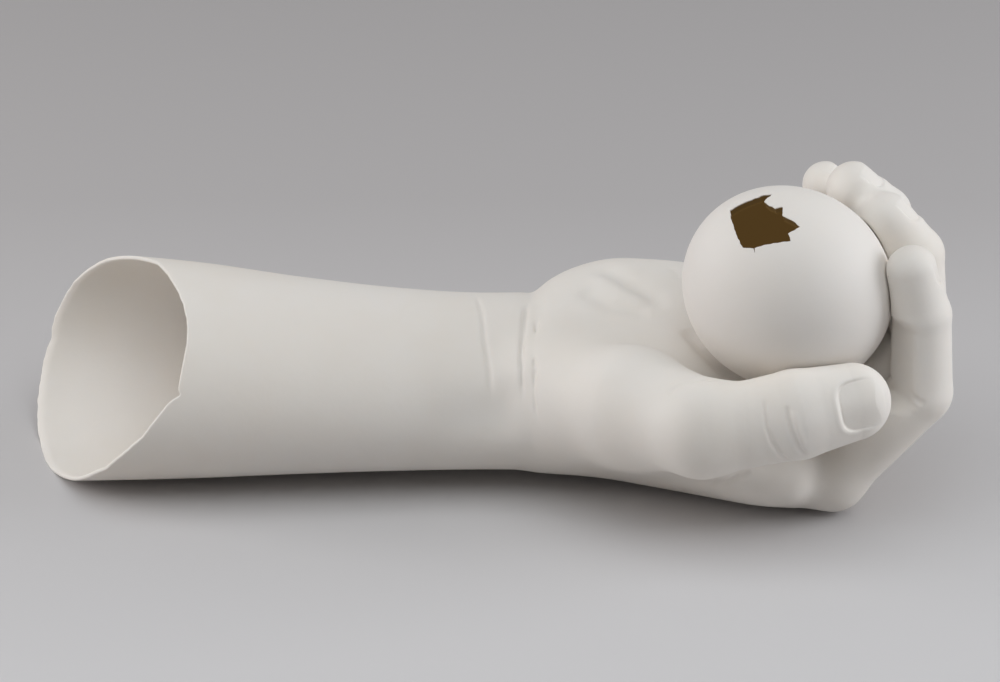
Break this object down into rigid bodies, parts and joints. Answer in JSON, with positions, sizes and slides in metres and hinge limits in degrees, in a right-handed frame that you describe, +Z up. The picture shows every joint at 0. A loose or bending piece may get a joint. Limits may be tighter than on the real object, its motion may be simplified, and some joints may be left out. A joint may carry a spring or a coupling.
{
  "type": "ceramic hand sculpture",
  "caption": "Life-size hollow porcelain hand and forearm lying palm up, fingers curled round a loose oval ball with a jagged hole.",
  "frame": {"origin": "middle of the part's length and width, on the table it lies on", "axes": "+X runs from the forearm's open end to the fingers, +Y to the little-finger side, +Z up out of the palm"},
  "size_m": [0.2866, 0.1111, 0.1008],
  "materials": {
    "bisque": "matt, unglazed",
    "ball_bisque": "matt, unglazed",
    "brown_lining": "matt brown slip coat"
  },
  "bodies": {
    "arm": {"forearm_shell": "bisque", "palm_shell": "bisque", "index_finger": "bisque", "middle_finger": "bisque", "ring_finger": "bisque", "little_finger": "bisque", "thumb": "bisque"},
    "ball": {"ball_shell": "ball_bisque", "ball_lining": "brown_lining"}
  },
  "joints": [
    {"name": "ball_lift", "type": "slide", "parent": "arm", "child": "ball", "axis": [-0.7071, 0, 0.7071], "range_m": [0, 0.12]}
  ]
}
